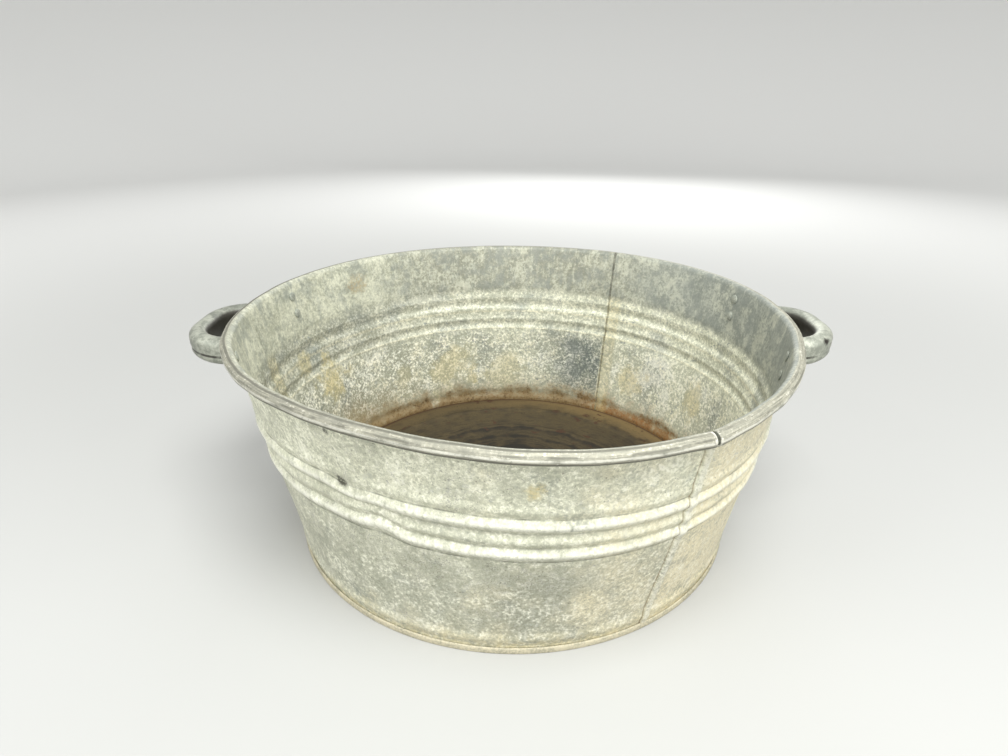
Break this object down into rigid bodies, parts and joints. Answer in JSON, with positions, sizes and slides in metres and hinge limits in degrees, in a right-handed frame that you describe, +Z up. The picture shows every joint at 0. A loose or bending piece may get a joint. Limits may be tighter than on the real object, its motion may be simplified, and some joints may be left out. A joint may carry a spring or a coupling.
{
  "type": "round galvanised washtub",
  "caption": "Round tapered galvanised sheet-metal washtub with a wired rolled rim, pressed beads, lock-seamed wall panels, a clinched floor and riveted side grips.",
  "frame": {"origin": "centre of the tub on the ground plane that the foot rests on", "axes": "+Z up out of the mouth, +X through the centre of the right grip, +Y away from the viewer"},
  "size_m": [0.707, 0.5999, 0.246],
  "materials": {
    "wall_zinc": "weathered hot-dip galvanised, matt",
    "floor_zinc": "galvanised, stained and rusted",
    "grip_zinc": "galvanised, hand-worn",
    "rivet_zinc": "galvanised, dull",
    "burr_zinc": "galvanised, dull",
    "rim_wire_steel": "plain drawn wire"
  },
  "bodies": {
    "root": {"wall_panel_right": "wall_zinc", "wall_panel_back": "wall_zinc", "wall_panel_front": "wall_zinc", "rim_wire": "rim_wire_steel", "bottom_plate": "floor_zinc", "handle_right": "grip_zinc", "handle_left": "grip_zinc", "handle_right_rivets": "rivet_zinc", "handle_left_rivets": "rivet_zinc", "handle_right_burrs": "burr_zinc", "handle_left_burrs": "burr_zinc"}
  },
  "joints": []
}
